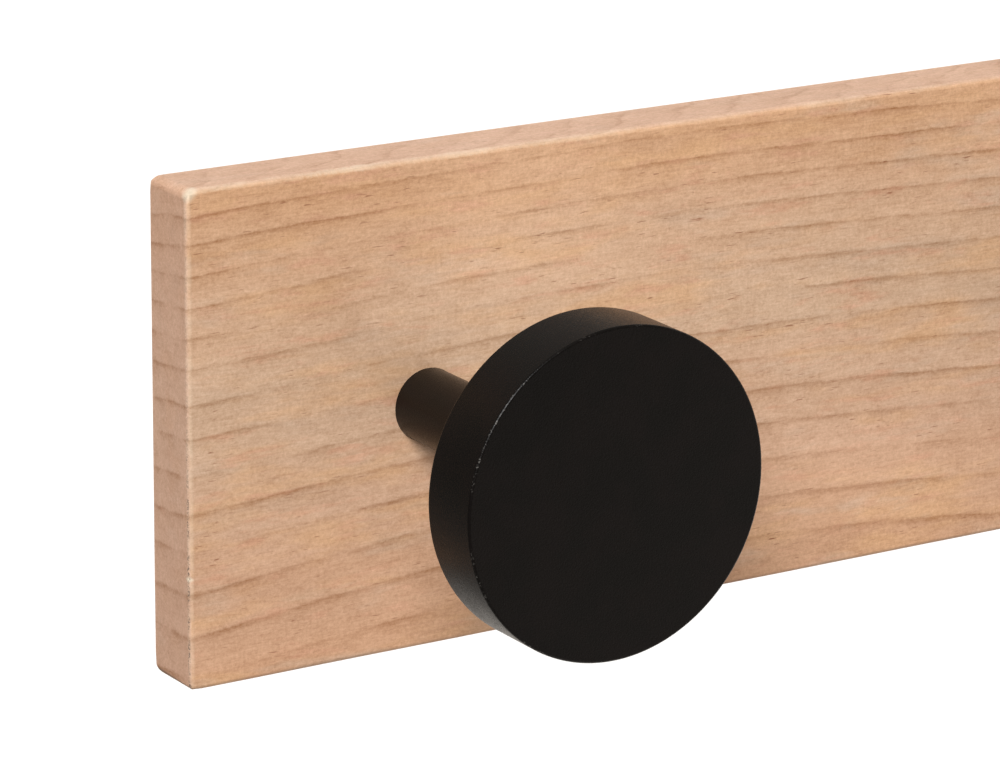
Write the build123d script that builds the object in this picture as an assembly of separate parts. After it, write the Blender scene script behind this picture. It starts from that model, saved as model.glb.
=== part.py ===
from build123d import *
import os

# Wall hook rack: a wooden board with a row of round peg knobs, hung on two wall screws.
# Millimetres. Origin at the centre of the board's back face, which lies on the wall.
# +X runs along the board, +Y points into the wall, +Z is up, so the knobs stand out along -Y.

# Board
board_length = 508.0
board_height = 89.0
board_thickness = 13.0
top_corner = 1.8          # corners as seen from the front
bottom_corner = 0.8
front_long_arris = 1.0    # sanded edges along the board
back_top_arris = 1.5
back_bottom_arris = 2.5
front_end_arris = 0.8     # upright edges at its two ends, cut after sanding and left crisper
back_end_arris = 0.4

# Knobs, spaced evenly between the two end margins
knob_count = 4
end_margin = 47.5
disc_diameter = 57.8
disc_thickness = 12.8
disc_front_edge = 0.4
disc_back_edge = 0.4
stem_diameter = 13.2
stem_visible = 47.5       # gap between the board and the back of the disc
stem_bore = 5.6
stem_edge = 0.3
seat_in_board = 1.5       # how deep the stem is let into the board
seat_in_disc = 2.0        # how deep the stem is let into the disc
seat_clearance = 0.05     # all round the stem in both seats

# M5 x 65 pan-head bolt and washer, put in from the back
bolt_diameter = 5.0
bolt_length = 65.0
bolt_pitch = 0.8
bolt_thread_length = 22.0
bolt_point = 0.6
head_diameter = 9.5
head_height = 3.7
head_edge = 1.2
recess_span = 5.0
recess_width = 1.1
recess_depth = 2.1
recess_taper = 12.0
washer_diameter = 10.0
washer_bore = 5.3
washer_thickness = 1.0
counterbore_diameter = 11.5
counterbore_depth = 4.8
bolt_hole = 5.5           # through the board
tapped_hole = 5.1         # in the disc, at the thread's outer diameter
tapped_depth_past_seat = 7.8

# Keyhole hanger plates, let into the back
hanger_spacing = 304.8
hanger_height = 14.0      # centre of each plate above the board's centre line
plate_width = 16.0
plate_length = 40.0
plate_thickness = 1.5
plate_sink = 0.3          # the plates lie this far below the back face
plate_clearance = 0.1
plate_edge = 0.2
entry_diameter = 9.5      # the wall screw's head goes in here
entry_drop = 5.0          # below the plate's centre
slot_width = 5.0          # and its neck slides up here
slot_rise = 6.0           # to this far above the plate's centre
pocket_width = 12.0       # room for the head behind the plate
pocket_depth = 6.5
plate_screw_offset = 15.0

# Countersunk plate screws
screw_diameter = 3.0
screw_core = 2.1
screw_length = 10.0
screw_pitch = 1.25
screw_thread_length = 7.5
screw_head_diameter = 6.0
screw_head_height = 1.5
screw_head_rim = 0.25
screw_sink = 0.05         # head below the plate's face
screw_clearance = 0.04
screw_recess_span = 3.2
screw_recess_width = 0.7
screw_recess_depth = 1.1

knob_pitch = (board_length - 2 * end_margin) / (knob_count - 1)
knob_places = [end_margin - board_length / 2 + i * knob_pitch for i in range(knob_count)]
hanger_places = {"left": -hanger_spacing / 2, "right": hanger_spacing / 2}
screw_offsets = {"lower": -plate_screw_offset, "upper": plate_screw_offset}

board_front = -board_thickness
disc_back = board_front - stem_visible
disc_front = disc_back - disc_thickness
stem_start = board_front + seat_in_board
stem_end = disc_back - seat_in_disc
washer_seat = -counterbore_depth
head_seat = washer_seat + washer_thickness
tapped_end = stem_end - tapped_depth_past_seat
plate_face = -plate_sink
plate_back = plate_face - plate_thickness
pocket_floor = plate_back - pocket_depth


def rod(diameter, y_from, y_to, x=0.0, z=0.0):
    """A round bar along Y, from one depth to another."""
    plane = Plane((x, y_from, z), x_dir=(1, 0, 0), z_dir=(0, -1, 0))
    return extrude(plane * Circle(diameter / 2), amount=y_from - y_to)


def turned(points, x=0.0, z=0.0):
    """A solid turned about Y. The points are (radius, depth below the back face)."""
    outline = [(x + radius, -depth) for radius, depth in points]
    profile = make_face(Polyline(*outline, close=True))
    axis = Axis((x, 0, 0), (0, 1, 0))
    return revolve(profile, axis).moved(Location((0, 0, z)))


def thread_points(outer, core, start, length, pitch):
    """Crests and roots of a thread, drawn as rings, as (radius, depth) points."""
    points = []
    for i in range(int(length / pitch)):
        depth = start + i * pitch
        points.append((outer, depth + pitch * 0.1))
        points.append((outer, depth + pitch * 0.3))
        points.append((core, depth + pitch * 0.65))
        points.append((core, depth + pitch * 0.85))
    return points


def cross_recess(span, width, depth, taper, x, y, z):
    """The driver's cross, a little narrower at its floor."""
    plane = Plane((x, y, z), x_dir=(1, 0, 0), z_dir=(0, -1, 0))
    cross = Rectangle(span, width) + Rectangle(width, span)
    return extrude(plane * cross, amount=depth, taper=taper)


def stadium(width, z_low, z_high, y_from, y_to, x):
    """A round-ended upright slot. z_low and z_high are the centres of its two ends."""
    plane = Plane((x, y_from, (z_low + z_high) / 2), x_dir=(1, 0, 0), z_dir=(0, -1, 0))
    middle = Rectangle(width, z_high - z_low)
    ends = Pos(0, (z_high - z_low) / 2) * Circle(width / 2) + Pos(0, (z_low - z_high) / 2) * Circle(width / 2)
    return extrude(plane * (middle + ends), amount=y_from - y_to)


def eased(plane, width, height, radii, amount):
    """A bar with eased corners. The radii go low left, low right, high left, high right."""
    outline = Rectangle(width, height)
    corners = [(x, y) for y in (-height / 2, height / 2) for x in (-width / 2, width / 2)]
    for corner, radius in zip(corners, radii):
        nearest = outline.vertices().sort_by_distance(corner)[0]
        outline = fillet(nearest, radius)
    return extrude(plane * outline, amount=amount / 2, both=True)


def blank_board():
    """What the end view, the plan and the front view all allow: the board before any hole."""
    middle = (0, -board_thickness / 2, 0)
    from_end = Plane(middle, x_dir=(0, 0, 1), z_dir=(-1, 0, 0))
    from_above = Plane(middle, x_dir=(1, 0, 0), z_dir=(0, 0, 1))
    from_front = Plane(middle, x_dir=(1, 0, 0), z_dir=(0, -1, 0))
    long_arrises = (front_long_arris, front_long_arris, back_bottom_arris, back_top_arris)
    end_arrises = (front_end_arris, front_end_arris, back_end_arris, back_end_arris)
    corners = (bottom_corner, bottom_corner, top_corner, top_corner)
    end_view = eased(from_end, board_height, board_thickness, long_arrises, board_length)
    plan = eased(from_above, board_length, board_thickness, end_arrises, board_height)
    front_view = eased(from_front, board_length, board_height, corners, board_thickness)
    return end_view & plan & front_view


def board():
    """The wooden board, drilled for the knobs and routed for the hanger plates."""
    body = blank_board()
    for x in knob_places:
        body -= rod(stem_diameter + 2 * seat_clearance, stem_start, board_front - 1, x)
        body -= rod(bolt_hole, 1, board_front - 1, x)
        body -= rod(counterbore_diameter, 1, washer_seat, x)
    for x in hanger_places.values():
        half_straight = (plate_length - plate_width) / 2
        recess_width_now = plate_width + 2 * plate_clearance
        low = hanger_height - half_straight
        high = hanger_height + half_straight
        body -= stadium(recess_width_now, low, high, 1, plate_back, x)
        entry = hanger_height - entry_drop
        top = hanger_height + slot_rise
        body -= stadium(pocket_width, entry, top, plate_back + 1, pocket_floor, x)
        for offset in screw_offsets.values():
            hole = screw_diameter + 2 * screw_clearance
            tip = plate_face - screw_sink - screw_length
            body -= rod(hole, plate_back + 1, tip - screw_clearance, x, hanger_height + offset)
    return body


def knob_disc(x):
    """The round head of a knob: a flat disc with a seat and a tapped hole in its back."""
    body = rod(disc_diameter, disc_back, disc_front, x)
    body = fillet(body.edges().group_by(Axis.Y)[0], disc_front_edge)
    body = fillet(body.edges().group_by(Axis.Y)[-1], disc_back_edge)
    body -= rod(stem_diameter + 2 * seat_clearance, disc_back + 1, stem_end, x)
    return body - rod(tapped_hole, stem_end + 1, tapped_end, x)


def knob_stem(x):
    """The tube between the board and the disc, over the bolt."""
    body = rod(stem_diameter, stem_start, stem_end, x)
    body = chamfer(body.edges(), stem_edge)
    return body - rod(stem_bore, stem_start + 1, stem_end - 1, x)


def knob_bolt(x):
    """Pan-head bolt. Its thread is drawn as rings."""
    shank = bolt_diameter / 2 - screw_clearance
    core = shank - bolt_pitch * 0.61
    top = -head_seat - head_height
    tip = -head_seat + bolt_length
    thread_start = tip - bolt_thread_length
    head_radius = head_diameter / 2
    points = [(0, top), (head_radius - head_edge * 1.6, top)]
    points += [(head_radius - head_edge * 0.5, top + head_edge * 0.3), (head_radius, top + head_edge)]
    points += [(head_radius, -head_seat), (shank, -head_seat), (shank, thread_start - bolt_pitch)]
    points += thread_points(shank, core, thread_start, bolt_thread_length - bolt_point, bolt_pitch)
    points += [(core, tip - bolt_point), (core - bolt_point, tip), (0, tip)]
    body = turned(points, x)
    return body - cross_recess(recess_span, recess_width, recess_depth, recess_taper, x, -top, 0)


def knob_washer(x):
    """Flat washer between the bolt's head and the floor of the counterbore."""
    body = rod(washer_diameter, head_seat, washer_seat, x)
    body = chamfer(body.edges(), washer_thickness * 0.12)
    return body - rod(washer_bore, head_seat + 1, washer_seat - 1, x)


def hanger_plate(x):
    """Steel keyhole plate with two countersunk holes."""
    half_straight = (plate_length - plate_width) / 2
    low = hanger_height - half_straight
    high = hanger_height + half_straight
    body = stadium(plate_width, low, high, plate_face, plate_back, x)
    body = chamfer(body.faces().sort_by(Axis.Y)[-1].edges(), plate_edge)
    entry = hanger_height - entry_drop
    top = hanger_height + slot_rise
    body -= rod(entry_diameter, plate_face + 1, plate_back - 1, x, entry)
    body -= stadium(slot_width, entry, top, plate_face + 1, plate_back - 1, x)
    for offset in screw_offsets.values():
        body -= turned(countersink_points(screw_clearance), x, hanger_height + offset)
    return body


def countersink_points(gap):
    """The envelope of a plate screw's head and neck, larger by a gap all round."""
    top = -plate_face + screw_sink
    rim = top + screw_head_rim
    neck = top + screw_head_height
    head = screw_head_diameter / 2 + gap
    shank = screw_diameter / 2 + gap
    return [(0, -1), (head, -1), (head, rim + gap), (shank, neck + gap), (shank, 1 - plate_back), (0, 1 - plate_back)]


def plate_screw(x, offset):
    """Countersunk wood screw. Its thread is drawn as rings."""
    top = -plate_face + screw_sink
    neck = top + screw_head_height
    tip = top + screw_length
    outer = screw_diameter / 2
    core = screw_core / 2
    thread_start = tip - screw_thread_length
    points = [(0, top), (screw_head_diameter / 2, top), (screw_head_diameter / 2, top + screw_head_rim)]
    points += [(outer, neck), (core, thread_start)]
    points += thread_points(outer, core, thread_start, screw_thread_length - screw_pitch, screw_pitch)
    points += [(core, tip - screw_pitch), (0, tip)]
    body = turned(points, x, hanger_height + offset)
    z = hanger_height + offset
    return body - cross_recess(screw_recess_span, screw_recess_width, screw_recess_depth, recess_taper, x, -top, z)


def write(shape, node):
    export_step(shape, "parts/" + node + ".step")


os.makedirs("parts", exist_ok=True)
write(board(), "board")
for number, place in enumerate(knob_places, start=1):
    write(knob_disc(place), f"knob_disc_{number}")
    write(knob_stem(place), f"knob_stem_{number}")
    write(knob_bolt(place), f"knob_bolt_{number}")
    write(knob_washer(place), f"knob_washer_{number}")
for side, place in hanger_places.items():
    write(hanger_plate(place), f"hanger_plate_{side}")
    for level, offset in screw_offsets.items():
        write(plate_screw(place, offset), f"hanger_screw_{side}_{level}")
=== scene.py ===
import bpy, bmesh, math
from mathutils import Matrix, Quaternion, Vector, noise


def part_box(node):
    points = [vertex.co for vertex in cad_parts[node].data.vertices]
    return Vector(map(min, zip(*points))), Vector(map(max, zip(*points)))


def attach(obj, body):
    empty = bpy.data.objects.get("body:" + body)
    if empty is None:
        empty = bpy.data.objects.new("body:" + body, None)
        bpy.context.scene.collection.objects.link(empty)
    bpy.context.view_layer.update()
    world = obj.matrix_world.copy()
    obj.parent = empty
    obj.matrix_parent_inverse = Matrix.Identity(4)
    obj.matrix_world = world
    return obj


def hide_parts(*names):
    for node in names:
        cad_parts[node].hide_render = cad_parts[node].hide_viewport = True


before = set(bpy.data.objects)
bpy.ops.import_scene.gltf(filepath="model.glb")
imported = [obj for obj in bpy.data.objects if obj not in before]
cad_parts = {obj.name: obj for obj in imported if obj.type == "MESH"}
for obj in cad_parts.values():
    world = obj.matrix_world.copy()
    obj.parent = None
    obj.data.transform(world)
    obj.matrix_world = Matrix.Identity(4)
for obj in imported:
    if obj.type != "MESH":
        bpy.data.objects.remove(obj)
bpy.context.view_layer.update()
mm = 0.001
tolerance = 1e-6      # m, points closer than this are one point
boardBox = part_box("board")
print("frame loaded:", len(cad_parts), "parts")


# small helpers

def toLinear(hexColour):  # sRGB hex to the linear colour that shaders use
    channels = [int(hexColour[i:i + 2], 16) / 255 for i in (1, 3, 5)]
    linear = [c / 12.92 if c <= 0.04045 else ((c + 0.055) / 1.055) ** 2.4 for c in channels]
    return (*linear, 1.0)


def addNode(tree, kind, inputs=None, **settings):
    node = tree.nodes.new(kind)
    for name, value in settings.items():
        setattr(node, name, value)
    for key, value in (inputs or {}).items():
        if isinstance(value, bpy.types.NodeSocket):
            tree.links.new(value, node.inputs[key])
        else:
            node.inputs[key].default_value = value
    return node


def newMaterial(name):
    material = bpy.data.materials.new(name)
    material.use_nodes = True
    material.node_tree.nodes.clear()
    return material


def setStops(ramp, stops):
    elements = ramp.color_ramp.elements
    while len(elements) > 1:
        elements.remove(elements[-1])
    elements[0].position = stops[0][0]
    elements[0].color = stops[0][1]
    for position, colour in stops[1:]:
        elements.new(position).color = colour


def finishPiece(mesh, name, material, sharpAngle=35.0):
    bmesh.ops.recalc_face_normals(mesh, faces=mesh.faces)
    data = bpy.data.meshes.new(name)
    mesh.to_mesh(data)
    mesh.free()
    data.materials.append(material)
    data.shade_smooth()
    data.set_sharp_from_angle(angle=math.radians(sharpAngle))
    piece = bpy.data.objects.new(name, data)
    bpy.context.scene.collection.objects.link(piece)
    evenNormals = piece.modifiers.new("evenNormals", "WEIGHTED_NORMAL")
    evenNormals.keep_sharp = True
    return piece


# board material: pale alder, planed, hand-sanded and given one thin satin coat.
# The eye sees soft ragged ring lines, a fine speckle, short dark flecks along the grain,
# faint upright ray streaks, and edges that are rubbed pale and furry,
# with a painted highlight in the pale along the arrises.

wood = {
    # colour from the lower edge (0) to the upper edge (1): pinkish, greyish tan, then orange
    "bands": [(0.0, "#C99D7D"), (0.25, "#C9A286"), (0.55, "#CBAA8E"), (0.78, "#D0A98A"), (0.97, "#D0A37E")],
    "warm": "#D3A67C",
    "cool": "#C6AA93",
    "pink": "#CD9B7E",
    "endGrain": "#CBA58E",
    "upperEdge": "#CAA893",
    "rubbedAndHighlight": "#E4DCC6",      # worn arrises, and the painted highlight on them
    "dirt": "#5E5249",        # specks caught in the furry end arris
    "pore": "#8A5638",
    "lineDepth": 0.27,        # how much darker the ring lines are
    "ringAtMiddle": 6.4,      # mm between lines half way up
    "ringChange": 0.04,       # and how much closer they get for each mm upwards
    "waveLength": 380.0,      # mm, the long bend of the grain along the board
    "waveHeight": 4.5,
    "waveFan": 0.05,          # the bend flattens upwards
    "tilt": 0.09,             # the rings rise towards the front face
    # paler patches on the front: mm from the left end and from the middle,
    # half sizes, and how much paler
    "palePatches": [(68.0, 26.0, 26.0, 22.0, 0.09), (132.0, -29.0, 30.0, 15.0, 0.11)],
    "roughness": 0.56,
    "sheen": 0.3,
    "relief": 0.07,           # mm, how deep the fibres stand
    "reliefStrength": 0.35,
    "arcLength": 12.0,        # mm between the arcs on the upper edge
    "arcSlant": 1.1,
    "ringShift": 19.9,        # which ring is at the middle
}


def makeWood():
    material = newMaterial("alderSandedSatin")
    tree = material.node_tree
    coordinates = addNode(tree, "ShaderNodeTexCoord")
    # millimetres, with x counted from the left end
    place = addNode(tree, "ShaderNodeMapping", {"Vector": coordinates.outputs["Object"],
                    "Scale": (1 / mm, 1 / mm, 1 / mm), "Location": (-boardBox[0][0] / mm, 0, 0)})
    x, y, z = addNode(tree, "ShaderNodeSeparateXYZ", {0: place.outputs[0]}).outputs
    facing = addNode(tree, "ShaderNodeSeparateXYZ", {0: coordinates.outputs["Normal"]}).outputs

    def calc(operation, a, b=0.0, c=0.0):
        return addNode(tree, "ShaderNodeMath", {0: a, 1: b, 2: c}, operation=operation).outputs[0]

    def add(*parts):
        total = parts[0]
        for part in parts[1:]:
            total = calc("ADD", total, part)
        return total

    def noiseAt(size, detail=2.0, roughness=0.5, seed=0.0):  # size of the blobs in mm along x, y and z
        spot = addNode(tree, "ShaderNodeMapping", {"Vector": place.outputs[0],
                       "Scale": [1 / s for s in size], "Location": (seed, seed * 0.7, seed * 1.3)})
        texture = addNode(tree, "ShaderNodeTexNoise", {"Vector": spot.outputs[0], "Scale": 1.0,
                          "Detail": detail, "Roughness": roughness})
        return texture.outputs["Fac"]

    def swing(value, amount):  # a noise value turned to about minus and plus amount
        return calc("MULTIPLY", calc("SUBTRACT", value, 0.5), 4 * amount)

    def band(value, low, high, outLow=0.0, outHigh=1.0):
        return addNode(tree, "ShaderNodeMapRange", {0: value, 1: low, 2: high, 3: outLow, 4: outHigh},
                       interpolation_type="SMOOTHSTEP").outputs[0]

    def blend(factor, a, b, mode="MIX"):
        mix = addNode(tree, "ShaderNodeMix", {0: factor, 6: a, 7: b}, data_type="RGBA", blend_type=mode)
        return mix.outputs[2]

    halfLength = (boardBox[1][0] - boardBox[0][0]) / 2 / mm
    halfHeight = (boardBox[1][2] - boardBox[0][2]) / 2 / mm
    depth = calc("SUBTRACT", y, boardBox[0][1] / mm)
    fromEnd = calc("SUBTRACT", halfLength, calc("ABSOLUTE", calc("SUBTRACT", x, halfLength)))
    fromTop = calc("SUBTRACT", halfHeight, z)
    onEnd = band(calc("ABSOLUTE", facing[0]), 0.45, 0.9)
    onTop = band(facing[2], 0.45, 0.9)

    # height in the stack of rings
    wave = calc("SINE", calc("MULTIPLY", x, 2 * math.pi / wood["waveLength"]))
    fan = calc("MULTIPLY_ADD", z, -wood["waveFan"], wood["waveHeight"])
    tilt = calc("MULTIPLY", calc("MULTIPLY_ADD", z, 0.0011, wood["tilt"]), depth)
    height = add(calc("SUBTRACT", z, calc("MULTIPLY", fan, wave)), tilt,
                 swing(noiseAt((90, 20, 20), 1.0, seed=3.1), 0.65),
                 swing(noiseAt((15, 4, 4), 3.0, 0.6, seed=7.7), 0.26),
                 swing(noiseAt((1.5, 0.6, 0.6), 2.0, 0.7, seed=1.9), 0.17))
    # ring number: the spacing changes evenly with height, so the number is a logarithm
    spacing = calc("MULTIPLY_ADD", height, -wood["ringChange"], wood["ringAtMiddle"])
    growth = calc("LOGARITHM", calc("DIVIDE", wood["ringAtMiddle"], spacing), math.e)
    ring = calc("DIVIDE", growth, wood["ringChange"])
    # the upper edge cuts the rings in short slanting arcs instead
    slanted = add(x, calc("MULTIPLY", depth, -wood["arcSlant"]),
                  swing(noiseAt((14, 6, 6), 2.0, seed=9.0), 3.0))
    arcs = calc("DIVIDE", slanted, wood["arcLength"])
    number = calc("MULTIPLY_ADD", onTop, calc("SUBTRACT", arcs, ring), ring)
    phase = calc("FRACT", calc("ADD", number, wood["ringShift"]))
    ramp = addNode(tree, "ShaderNodeValToRGB", {0: phase})
    profile = [(0.0, 0.8), (0.05, 0.1), (0.12, 0.0), (0.34, 0.05), (0.43, 0.22), (0.5, 0.1),
               (0.70, 0.20), (0.86, 0.36), (0.94, 0.85), (0.98, 1.1)]
    setStops(ramp, [(position, (v, v, v, 1)) for position, v in profile])
    strength = band(noiseAt((24, 7, 7), 3.0, 0.6, seed=12.0), 0.36, 0.62, 0.18, 1.25)
    strength = calc("MULTIPLY", strength, calc("MULTIPLY_ADD", onTop, -0.4, 1.0))
    line = calc("MULTIPLY", ramp.outputs[0], strength)

    # everything that lightens or darkens the wood is added up in one value
    speckle = noiseAt((0.8, 0.7, 0.7), 3.0, 0.95, seed=52.0)
    fibre = noiseAt((3.2, 0.30, 0.30), 2.0, 0.7, seed=40.0)
    rays = noiseAt((0.4, 5.0, 5.0), 2.0, 0.6, seed=47.0)
    rayPlaces = band(noiseAt((18, 12, 12), 2.0, seed=48.0), 0.4, 0.65)
    mottle = noiseAt((5, 2.5, 2.5), 3.0, 0.7, seed=57.0)
    clouds = noiseAt((26, 12, 12), 3.0, 0.6, seed=26.0)
    pale = 0.0
    for centreX, centreZ, halfLong, halfTall, amount in wood["palePatches"]:
        away = add(calc("POWER", calc("DIVIDE", calc("SUBTRACT", x, centreX), halfLong), 2.0),
                   calc("POWER", calc("DIVIDE", calc("SUBTRACT", z, centreZ), halfTall), 2.0))
        pale = add(pale, band(away, 0.0, 1.4, amount, 0.0))
    shade = add(calc("MULTIPLY", line, -wood["lineDepth"]), swing(speckle, 0.21), swing(fibre, 0.11),
                calc("MULTIPLY", swing(rays, 0.05), rayPlaces), swing(mottle, 0.09), swing(clouds, 0.05),
                pale)

    upward = calc("MULTIPLY_ADD", height, 1 / (2 * halfHeight), 0.5)
    drift = swing(noiseAt((50, 9, 9), 2.0, seed=15.0), 0.08)
    bands = addNode(tree, "ShaderNodeValToRGB", {0: add(upward, drift)})
    setStops(bands, [(position, toLinear(colour)) for position, colour in wood["bands"]])
    base = blend(band(noiseAt((30, 6, 6), 3.0, 0.6, seed=21.0), 0.48, 0.72, 0.0, 0.6), bands.outputs[0],
                 toLinear(wood["warm"]))
    base = blend(band(noiseAt((22, 5, 5), 3.0, 0.6, seed=33.0), 0.5, 0.72, 0.0, 0.5), base,
                 toLinear(wood["cool"]))
    base = blend(band(noiseAt((12, 2.5, 2.5), 3.0, 0.6, seed=37.0), 0.54, 0.72, 0.0, 0.6), base,
                 toLinear(wood["pink"]))
    base = blend(calc("MULTIPLY", onEnd, 0.75), base, toLinear(wood["endGrain"]))
    base = blend(calc("MULTIPLY", onTop, 0.7), base, toLinear(wood["upperEdge"]))
    # darker wood is also yellower, so blue falls fastest
    tint = addNode(tree, "ShaderNodeCombineColor", {0: calc("MULTIPLY_ADD", shade, 0.78, 1.0),
                   1: calc("ADD", shade, 1.0), 2: calc("MULTIPLY_ADD", shade, 1.22, 1.0)})
    base = blend(1.0, base, tint.outputs[0], "MULTIPLY")

    # flecks: short open pores, scarce and uneven
    fleckField = noiseAt((3.0, 0.28, 0.28), 1.0, 0.5, seed=61.0)
    fleckPlaces = band(noiseAt((9, 4, 4), 2.0, seed=66.0), 0.42, 0.68, 0.15, 1.0)
    flecks = calc("MULTIPLY", band(fleckField, 0.68, 0.76), fleckPlaces)
    flecks = calc("MULTIPLY", flecks, calc("MULTIPLY_ADD", onEnd, -0.8, 0.85))
    base = blend(flecks, base, toLinear(wood["pore"]))

    # rubbed arrises: pale and furry, the upright ones with dark specks. The pale is partly painted
    # highlight, where the rounded arrises catch the key light.
    fuzz = add(swing(noiseAt((0.7, 0.7, 0.7), 3.0, 0.8, seed=71.0), 0.16),
               swing(noiseAt((6, 6, 6), 1.0, seed=73.0), 0.12))
    uprightWearAndHighlight = calc("MULTIPLY", band(add(fromEnd, depth, fuzz), 0.6, 1.2, 0.16, 0.0),
                   band(noiseAt((4, 4, 4), 3.0, 0.6, seed=75.0), 0.35, 0.65, 0.3, 1.0))
    upperArrisHighlightAndWear = calc("MULTIPLY", band(add(fromTop, depth, fuzz), 0.68, 1.05, 0.34, 0.0),
                 band(noiseAt((9, 9, 9), 3.0, 0.6, seed=76.0), 0.35, 0.65, 0.3, 1.0))
    # painted highlight: the upper front arris is lit brightest near the left end
    upperArrisHighlightAndWear = calc("MULTIPLY", upperArrisHighlightAndWear, band(x, 40.0, 95.0, 1.0, 0.5))
    # the near upper corner: a pale sanded facet, partly painted highlight
    vertex = band(add(fromEnd, depth, calc("MULTIPLY", fromTop, 1.2), fuzz), 1.9, 4.2, 0.62, 0.0)
    base = blend(calc("MAXIMUM", calc("MAXIMUM", uprightWearAndHighlight, upperArrisHighlightAndWear), vertex), base, toLinear(wood["rubbedAndHighlight"]))
    chip = add(calc("ABSOLUTE", calc("SUBTRACT", z, sanding["chipHeight"])), fromEnd,
               calc("MULTIPLY", depth, 0.6))
    base = blend(band(chip, 0.6, 1.1, 0.6, 0.0), base, toLinear(wood["rubbedAndHighlight"]))
    specks = calc("MULTIPLY", band(noiseAt((0.32, 0.32, 0.40), 2.0, 0.7, seed=81.0), 0.47, 0.56),
                  band(noiseAt((4, 4, 4), 2.0, 0.6, seed=83.0), 0.34, 0.56, 0.1, 0.85))
    specks = calc("MULTIPLY", specks, band(z, -18.0, 14.0, 1.0, 0.3))
    # only in a narrow row on the end's side of the arris
    fromRow = calc("ABSOLUTE", calc("SUBTRACT", depth, 0.55))
    specks = calc("MULTIPLY", specks, band(fromRow, 0.12, 0.32, 1.0, 0.0))
    specks = calc("MULTIPLY", specks, band(fromEnd, 0.2, 0.5, 1.0, 0.0))
    base = blend(specks, base, toLinear(wood["dirt"]))

    relief = add(calc("MULTIPLY", fibre, 0.5), calc("MULTIPLY", flecks, -0.7),
                 calc("MULTIPLY", speckle, 0.6), calc("MULTIPLY", line, -0.25))
    bump = addNode(tree, "ShaderNodeBump", {"Height": relief, "Strength": wood["reliefStrength"],
                   "Distance": wood["relief"] * mm})
    rough = band(fibre, 0.2, 0.8, wood["roughness"] - 0.07, wood["roughness"] + 0.07)
    shader = addNode(tree, "ShaderNodeBsdfPrincipled", {"Base Color": base, "Roughness": rough, "IOR": 1.5,
                     "Specular IOR Level": wood["sheen"], "Normal": bump.outputs[0]})
    addNode(tree, "ShaderNodeOutputMaterial", {0: shader.outputs[0]})
    return material


# board: the cut blank with its arrises sanded by hand, so that they wander a little

sanding = {
    "cutEvery": 5.0,          # mm between the cuts that let an arris wander
    "cutZone": 1.2,           # mm in from the edges that the cuts reach
    "reach": 1.0,             # and the sanding
    "depth": (0.18, 0.18, 0.07),    # most that is taken off arrises along x, y and z
    "lump": 16.0,             # mm from one high spot to the next
    "cornerReach": 3.0,      # mm around a corner that is rubbed rounder
    "cornerDepth": 0.15,
    "chipHeight": -24.2,      # a chip in the left end's front arris
    "chipSize": 1.0,
    "chipDepth": 0.30,
    "chipCuts": (-0.7, -0.3, 0.1, 0.5),     # mm from the chip's middle, where the mesh is cut for it
}

woodMaterial = makeWood()


def edgeGaps(point):  # how far in the point lies from the nearer side of the board's box, along each axis
    low, high = boardBox
    return [min(point[i] - low[i], high[i] - point[i]) / mm for i in range(3)]


def cutArrises(mesh, axis, places):
    direction = Vector([1.0 if i == axis else 0.0 for i in range(3)])
    for place in places:
        faces = [f for f in mesh.faces if sorted(edgeGaps(f.calc_center_median()))[1] < sanding["cutZone"]]
        verts = list({v for f in faces for v in f.verts})
        edges = list({e for f in faces for e in f.edges})
        bmesh.ops.bisect_plane(mesh, geom=verts + edges + faces, plane_co=direction * place,
                               plane_no=direction, dist=tolerance)


def sandVertex(point):
    low, high = boardBox
    gaps = edgeGaps(point)
    inward = [1.0 if point[i] - low[i] < high[i] - point[i] else -1.0 for i in range(3)]
    move = Vector((0, 0, 0))
    lump = 0.5 + 0.5 * noise.noise(point / (sanding["lump"] * mm))
    for a, b in ((0, 1), (1, 2), (0, 2)):
        weight = max(0.0, 1 - gaps[a] / sanding["reach"]) * max(0.0, 1 - gaps[b] / sanding["reach"])
        way = Vector([inward[i] if i in (a, b) else 0.0 for i in range(3)])
        move += way * weight * lump * sanding["depth"][3 - a - b] * mm
    nearCorner = max(0.0, 1 - sum(gaps) / sanding["cornerReach"])
    move += Vector(inward) * nearCorner * sanding["cornerDepth"] * mm
    fromChip = abs(point[2] / mm - sanding["chipHeight"]) + gaps[0] + gaps[1]
    if point[0] < 0 and point[1] < boardBox[0][1] / 2 and fromChip < sanding["chipSize"]:
        amount = (1 - fromChip / sanding["chipSize"]) * sanding["chipDepth"] * mm
        move += Vector((inward[0], inward[1], 0)) * amount
    return point + move


def makeBoard():
    mesh = bmesh.new()
    mesh.from_mesh(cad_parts["board"].data)
    bmesh.ops.remove_doubles(mesh, verts=mesh.verts, dist=tolerance)
    low, high = boardBox
    count = int((high[0] - low[0]) / mm / sanding["cutEvery"])
    cutArrises(mesh, 0, [low[0] + (i + 0.5) * (high[0] - low[0]) / count for i in range(count)])
    endSpacing = sanding["cutEvery"] / 2 * mm
    endCuts = [low[2] + (i + 0.5) * endSpacing for i in range(int((high[2] - low[2]) / endSpacing))]
    chipCuts = [(sanding["chipHeight"] + step) * mm for step in sanding["chipCuts"]]
    cutArrises(mesh, 2, endCuts + chipCuts)
    bmesh.ops.dissolve_degenerate(mesh, dist=tolerance, edges=mesh.edges)
    for vertex in mesh.verts:
        vertex.co = sandVertex(vertex.co)
    piece = finishPiece(mesh, "boardSanded", woodMaterial)
    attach(piece, "root")
    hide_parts("board")
    return piece


boardPiece = makeBoard()
print("board:", len(boardPiece.data.polygons), "faces")


# knob material: turned aluminium with a satin black powder coat.
# The eye sees near black with a very fine orange peel that breaks up the light at grazing angles,
# the colours of whatever is close by, and a few worn specks on the rims, which also paint in a broken rim
# highlight.

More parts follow.
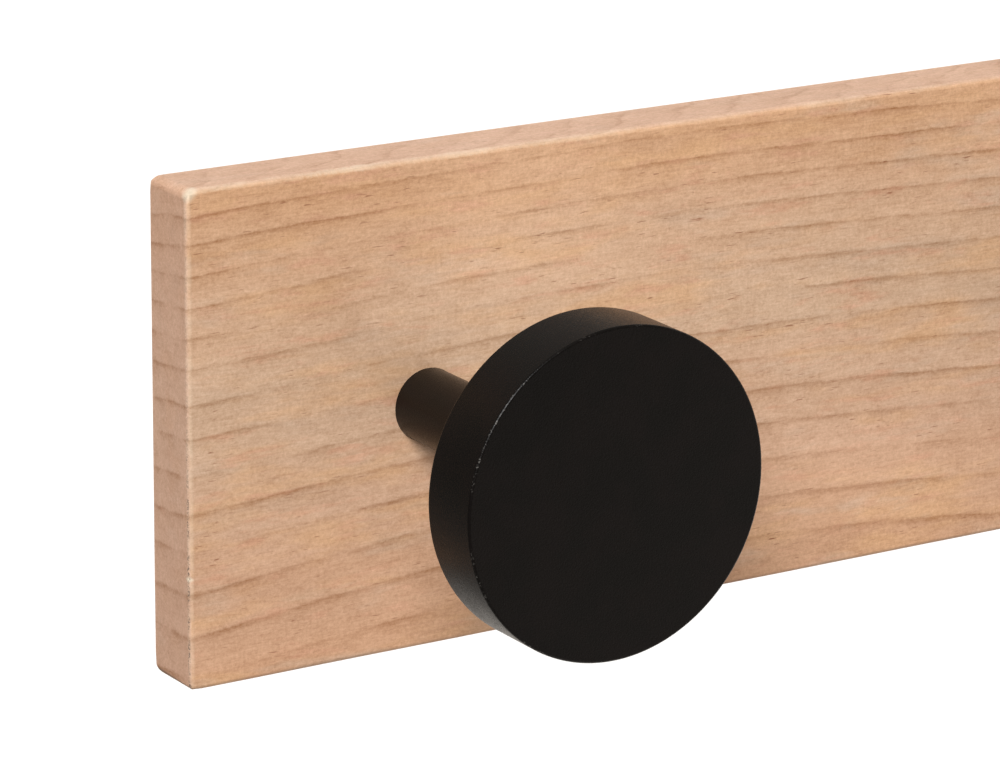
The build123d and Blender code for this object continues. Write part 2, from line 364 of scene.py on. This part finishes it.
coat = {
    "colour": "#0A0807",
    "browner": "#0D0908",
    "wornAndGlint": "#8C8882",
    "roughness": 0.31,
    "specular": 0.16,         # a little duller than bare resin, from the matting agent
    "peelDepth": 0.030,       # mm
    "peel": 0.30,             # mm, real coats are nearer 0.2, drawn coarser so that it shows
}


def makeCoat():
    material = newMaterial("powderCoatSatinBlack")
    tree = material.node_tree
    coordinates = addNode(tree, "ShaderNodeTexCoord")

    def calc(operation, a, b=0.0, c=0.0):
        return addNode(tree, "ShaderNodeMath", {0: a, 1: b, 2: c}, operation=operation).outputs[0]

    def noiseAt(size, detail, roughness):
        return addNode(tree, "ShaderNodeTexNoise", {"Vector": coordinates.outputs["Object"],
                       "Scale": 1 / (size * mm), "Detail": detail, "Roughness": roughness}).outputs["Fac"]

    def band(value, low, high, outLow=0.0, outHigh=1.0):
        return addNode(tree, "ShaderNodeMapRange", {0: value, 1: low, 2: high, 3: outLow, 4: outHigh},
                       interpolation_type="SMOOTHSTEP").outputs[0]

    fine = noiseAt(coat["peel"], 2.0, 0.6)
    broad = noiseAt(9, 3.0, 0.6)
    colour = addNode(tree, "ShaderNodeMix", {0: band(broad, 0.35, 0.65), 6: toLinear(coat["colour"]),
                     7: toLinear(coat["browner"])}, data_type="RGBA").outputs[2]

    # how far in from the disc's two rims: the axis of every knob is folded onto the first one's
    first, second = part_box("knob_disc_1"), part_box("knob_disc_2")
    pitch = second[0][0] - first[0][0]
    axisX = (first[0][0] + first[1][0]) / 2
    x, y, z = addNode(tree, "ShaderNodeSeparateXYZ", {0: coordinates.outputs["Object"]}).outputs
    across = calc("WRAP", calc("SUBTRACT", x, axisX), pitch / 2, -pitch / 2)
    radius = calc("SQRT", calc("ADD", calc("MULTIPLY", across, across), calc("MULTIPLY", z, z)))
    inFromSide = calc("ABSOLUTE", calc("SUBTRACT", (first[1][2] - first[0][2]) / 2, radius))
    middle = (first[0][1] + first[1][1]) / 2
    fromMiddle = calc("ABSOLUTE", calc("SUBTRACT", y, middle))
    inFromFace = calc("SUBTRACT", (first[1][1] - first[0][1]) / 2, fromMiddle)
    fromRim = calc("ADD", inFromSide, calc("ABSOLUTE", inFromFace))
    # pale specks near both rims: worn coat, and painted highlight that breaks the rims' glint into specks
    wearAndRimGlint = calc("MULTIPLY", band(fromRim, 0.15 * mm, 0.42 * mm, 1.0, 0.0),
                band(noiseAt(0.45, 2.0, 0.7), 0.56, 0.68))
    wearAndRimGlint = calc("MULTIPLY", wearAndRimGlint, band(noiseAt(7, 1.0, 0.5), 0.45, 0.62, 0.0, 0.8))
    colour = addNode(tree, "ShaderNodeMix", {0: wearAndRimGlint, 6: colour, 7: toLinear(coat["wornAndGlint"])},
                     data_type="RGBA").outputs[2]

    rough = calc("ADD", band(fine, 0.3, 0.7, -0.07, 0.07), band(broad, 0.3, 0.7, coat["roughness"] - 0.02,
                                                               coat["roughness"] + 0.03))
    bump = addNode(tree, "ShaderNodeBump", {"Height": fine, "Strength": 1.0,
                   "Distance": coat["peelDepth"] * mm})
    shader = addNode(tree, "ShaderNodeBsdfPrincipled", {"Base Color": colour, "Roughness": rough, "IOR": 1.5,
                     "Specular IOR Level": coat["specular"], "Normal": bump.outputs[0]})
    addNode(tree, "ShaderNodeOutputMaterial", {0: shader.outputs[0]})
    return material


coatMaterial = makeCoat()

# knobs: a turned disc on a turned stem, both finer than the carried ones so that the rims stay round

knob = {
    "steps": 240,
    "rim": 0.45,              # mm, how much the disc's rims are rounded
    "rimSteps": 4,
    "seat": 13.3,             # diameter of the seat that the stem stands in
    "seatDepth": 2.0,
    "tapped": 5.1,            # hole for the bolt
    "tappedDepth": 7.8,
    "stemBore": 5.6,
    "stemEdge": 0.3,
}


def spinProfile(points, axisX, closed):
    mesh = bmesh.new()
    verts = [mesh.verts.new((axisX + r, y, 0)) for r, y in points]
    pairs = list(zip(verts, verts[1:])) + ([(verts[-1], verts[0])] if closed else [])
    edges = [mesh.edges.new(pair) for pair in pairs]
    bmesh.ops.spin(mesh, geom=verts + edges, cent=(axisX, 0, 0), axis=(0, 1, 0), angle=2 * math.pi,
                   steps=knob["steps"], use_merge=True)
    bmesh.ops.remove_doubles(mesh, verts=mesh.verts, dist=tolerance)
    return mesh


def roundRims(mesh, axisX, radius, depths, amount):
    def onRim(vertex):
        out = math.hypot(vertex.co.x - axisX, vertex.co.z)
        fromEnds = min(abs(vertex.co.y - depth) for depth in depths)
        return abs(out - radius) < tolerance and fromEnds < tolerance

    def isRing(edge):
        first, second = edge.verts
        return onRim(first) and onRim(second) and abs(first.co.y - second.co.y) < tolerance

    rims = [edge for edge in mesh.edges if isRing(edge)]
    bmesh.ops.bevel(mesh, geom=rims, offset=amount, segments=knob["rimSteps"], profile=0.5,
                    affect="EDGES", material=-1)


def makeDisc(number):
    low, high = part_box("knob_disc_%d" % number)
    axisX, radius = (low[0] + high[0]) / 2, (high[2] - low[2]) / 2
    seat, hole = knob["seat"] / 2 * mm, knob["tapped"] / 2 * mm
    floor = high[1] - knob["seatDepth"] * mm
    bottom = floor - knob["tappedDepth"] * mm
    mesh = spinProfile([(0, low[1]), (radius, low[1]), (radius, high[1]), (seat, high[1]), (seat, floor),
                        (hole, floor), (hole, bottom), (0, bottom)], axisX, closed=False)
    roundRims(mesh, axisX, radius, (low[1], high[1]), knob["rim"] * mm)
    return finishPiece(mesh, "discTurned%d" % number, coatMaterial)


def makeStem(number):
    low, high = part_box("knob_stem_%d" % number)
    axisX, radius = (low[0] + high[0]) / 2, (high[0] - low[0]) / 2
    bore = knob["stemBore"] / 2 * mm
    mesh = spinProfile([(bore, low[1]), (radius, low[1]), (radius, high[1]), (bore, high[1])], axisX,
                       closed=True)
    roundRims(mesh, axisX, radius, (low[1], high[1]), knob["stemEdge"] * mm)
    return finishPiece(mesh, "stemTurned%d" % number, coatMaterial)


knobCount = len([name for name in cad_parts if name.startswith("knob_disc_")])
for number in range(1, knobCount + 1):
    for piece, node in ((makeDisc(number), "knob_disc_%d"), (makeStem(number), "knob_stem_%d")):
        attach(piece, "root")
        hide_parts(node % number)
print("knobs:", knobCount)


# fastener material: bright zinc plate on steel, rolled and barrel plated.
# The eye sees a cool grey metal, slightly cloudy, with soft tumbling marks.

def makeZinc(name, light, dark, roughness):
    material = newMaterial(name)
    tree = material.node_tree
    coordinates = addNode(tree, "ShaderNodeTexCoord")
    cloud = addNode(tree, "ShaderNodeTexNoise", {"Vector": coordinates.outputs["Object"],
                    "Scale": 1 / (2.5 * mm), "Detail": 4.0, "Roughness": 0.6})
    tone = addNode(tree, "ShaderNodeMix", {0: cloud.outputs["Fac"], 6: toLinear(dark), 7: toLinear(light)},
                   data_type="RGBA")
    rough = addNode(tree, "ShaderNodeMapRange", {0: cloud.outputs["Fac"], 1: 0.3, 2: 0.7,
                    3: roughness - 0.07, 4: roughness + 0.08})
    scuff = addNode(tree, "ShaderNodeTexNoise", {"Vector": coordinates.outputs["Object"],
                    "Scale": 1 / (0.3 * mm), "Detail": 2.0})
    bump = addNode(tree, "ShaderNodeBump", {"Height": scuff.outputs["Fac"], "Strength": 0.15,
                   "Distance": 0.02 * mm})
    shader = addNode(tree, "ShaderNodeBsdfPrincipled", {"Base Color": tone.outputs[2], "Metallic": 1.0,
                     "Roughness": rough.outputs[0], "Normal": bump.outputs[0]})
    addNode(tree, "ShaderNodeOutputMaterial", {0: shader.outputs[0]})
    return material


zincMaterial = makeZinc("zincPlateBright", "#C9CCD0", "#9EA2A8", 0.32)
plateMaterial = makeZinc("zincPlatePressed", "#BFC2C4", "#94989C", 0.38)
yellowMaterial = makeZinc("zincPlateYellow", "#D8BE7C", "#B08F4C", 0.33)

finishes = {"board": woodMaterial, "knob_disc": coatMaterial, "knob_stem": coatMaterial,
            "knob_bolt": zincMaterial, "knob_washer": zincMaterial, "hanger_plate": plateMaterial,
            "hanger_screw": yellowMaterial}
for name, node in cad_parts.items():
    for beginning, material in finishes.items():
        if name.startswith(beginning):
            for holder in node.material_slots:
                holder.material = material
print("materials given")


# studio: pale floor well below the rack, one large soft key over the viewer's left shoulder,
# dim air on the left and a broad bright side low behind on the right

studio = {
    "floorDrop": 2.0,         # below the board's lower edge
    "floorSize": 120.0,
    "keyStrength": 3.72,
    "keyAngle": 25.0,         # degrees, so that its shadows are soft
    "keyFrom": (-0.52, -0.63, 0.59),
    "brightSide": (0.8, 0.12, -0.55),
    "brightFrom": 0.30,       # how near to that side the air starts to brighten, 1 is straight at it
    "dim": 0.16,
    "bright": 1.3,
    "overhead": 0.28,
    "below": 0.20,
    "fillAngle": 60.0,
    "fillStrength": 1.7,      # a matt fill for the back, which makes no highlights
    "fillFrom": (0.25, 0.85, 0.3),
    "airColour": "#FFF6EC",
}

floorMaterial = newMaterial("paintedFloor")
floorTree = floorMaterial.node_tree
floorSpots = addNode(floorTree, "ShaderNodeTexCoord")
floorNoise = addNode(floorTree, "ShaderNodeTexNoise", {"Vector": floorSpots.outputs["Object"], "Scale": 3.0})
floorTone = addNode(floorTree, "ShaderNodeMix", {0: floorNoise.outputs["Fac"], 6: toLinear("#F7F7F7"),
                    7: toLinear("#FAFAFA")}, data_type="RGBA")
floorShader = addNode(floorTree, "ShaderNodeBsdfPrincipled", {"Base Color": floorTone.outputs[2],
                      "Roughness": 0.9, "Specular IOR Level": 0.1})
addNode(floorTree, "ShaderNodeOutputMaterial", {0: floorShader.outputs[0]})

floorMesh = bmesh.new()
bmesh.ops.create_grid(floorMesh, x_segments=1, y_segments=1, size=studio["floorSize"] / 2)
bmesh.ops.translate(floorMesh, verts=floorMesh.verts, vec=(0, 0, boardBox[0][2] - studio["floorDrop"]))
floor = finishPiece(floorMesh, "floor", floorMaterial)
floor.visible_diffuse = False     # its bounce would wash out the black knobs and the shading under them
floor.visible_glossy = False

world = bpy.data.worlds.new("studioAir")
world.use_nodes = True
air = world.node_tree
wayOut = addNode(air, "ShaderNodeTexCoord").outputs["Generated"]
towards = addNode(air, "ShaderNodeVectorMath", {0: wayOut, 1: Vector(studio["brightSide"]).normalized()},
                  operation="DOT_PRODUCT").outputs["Value"]
side = addNode(air, "ShaderNodeMapRange", {0: towards, 1: studio["brightFrom"], 2: 1.0,
               3: studio["dim"], 4: studio["bright"]})
up = addNode(air, "ShaderNodeMapRange", {0: addNode(air, "ShaderNodeSeparateXYZ", {0: wayOut}).outputs[2],
             1: 0.0, 2: 1.0, 3: 0.0, 4: studio["overhead"]})
down = addNode(air, "ShaderNodeMapRange", {0: addNode(air, "ShaderNodeSeparateXYZ", {0: wayOut}).outputs[2],
               1: 0.0, 2: -1.0, 3: 0.0, 4: studio["below"]})
upAndDown = addNode(air, "ShaderNodeMath", {0: up.outputs[0], 1: down.outputs[0]}, operation="ADD")
strength = addNode(air, "ShaderNodeMath", {0: side.outputs[0], 1: upAndDown.outputs[0]}, operation="ADD")
air.links.new(strength.outputs[0], air.nodes["Background"].inputs["Strength"])
air.nodes["Background"].inputs["Color"].default_value = toLinear(studio["airColour"])
bpy.context.scene.world = world


def addLight(name, angle):
    lamp = bpy.data.lights.new(name, "SUN")
    lamp.energy = studio[name + "Strength"]
    lamp.angle = math.radians(angle)
    light = bpy.data.objects.new(name, lamp)
    light.rotation_mode = "QUATERNION"
    light.rotation_quaternion = Vector(studio[name + "From"]).to_track_quat("Z", "Y")
    bpy.context.scene.collection.objects.link(light)
    return light


addLight("key", studio["keyAngle"])
addLight("fill", studio["fillAngle"]).visible_glossy = False

# camera: a long lens a little above the rack, to the left of its near end

view = {
    "azimuth": -32.2,         # degrees
    "elevation": 16.48,
    "roll": 0.51,
    "distance": 0.862,
    "lens": 176.5,
    "aimAcross": 0.0148,      # the aim point, from the first knob's axis on the board's front
    "aimUp": 0.0016,
}

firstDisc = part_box("knob_disc_1")
aim = Vector(((firstDisc[0][0] + firstDisc[1][0]) / 2 + view["aimAcross"], boardBox[0][1], view["aimUp"]))
azimuth = math.radians(view["azimuth"])
elevation = math.radians(view["elevation"])
forward = Vector((-math.sin(azimuth) * math.cos(elevation), math.cos(azimuth) * math.cos(elevation),
                  -math.sin(elevation)))
cameraData = bpy.data.cameras.new("camera")
cameraData.lens = view["lens"]
cameraData.sensor_width = 36.0
camera = bpy.data.objects.new("camera", cameraData)
camera.location = aim - forward * view["distance"]
camera.rotation_mode = "QUATERNION"
roll = Quaternion((0, 0, 1), math.radians(view["roll"]))
camera.rotation_quaternion = forward.to_track_quat("-Z", "Y") @ roll
bpy.context.scene.collection.objects.link(camera)
bpy.context.scene.camera = camera
bpy.context.scene.view_settings.view_transform = "Standard"
print("studio set")
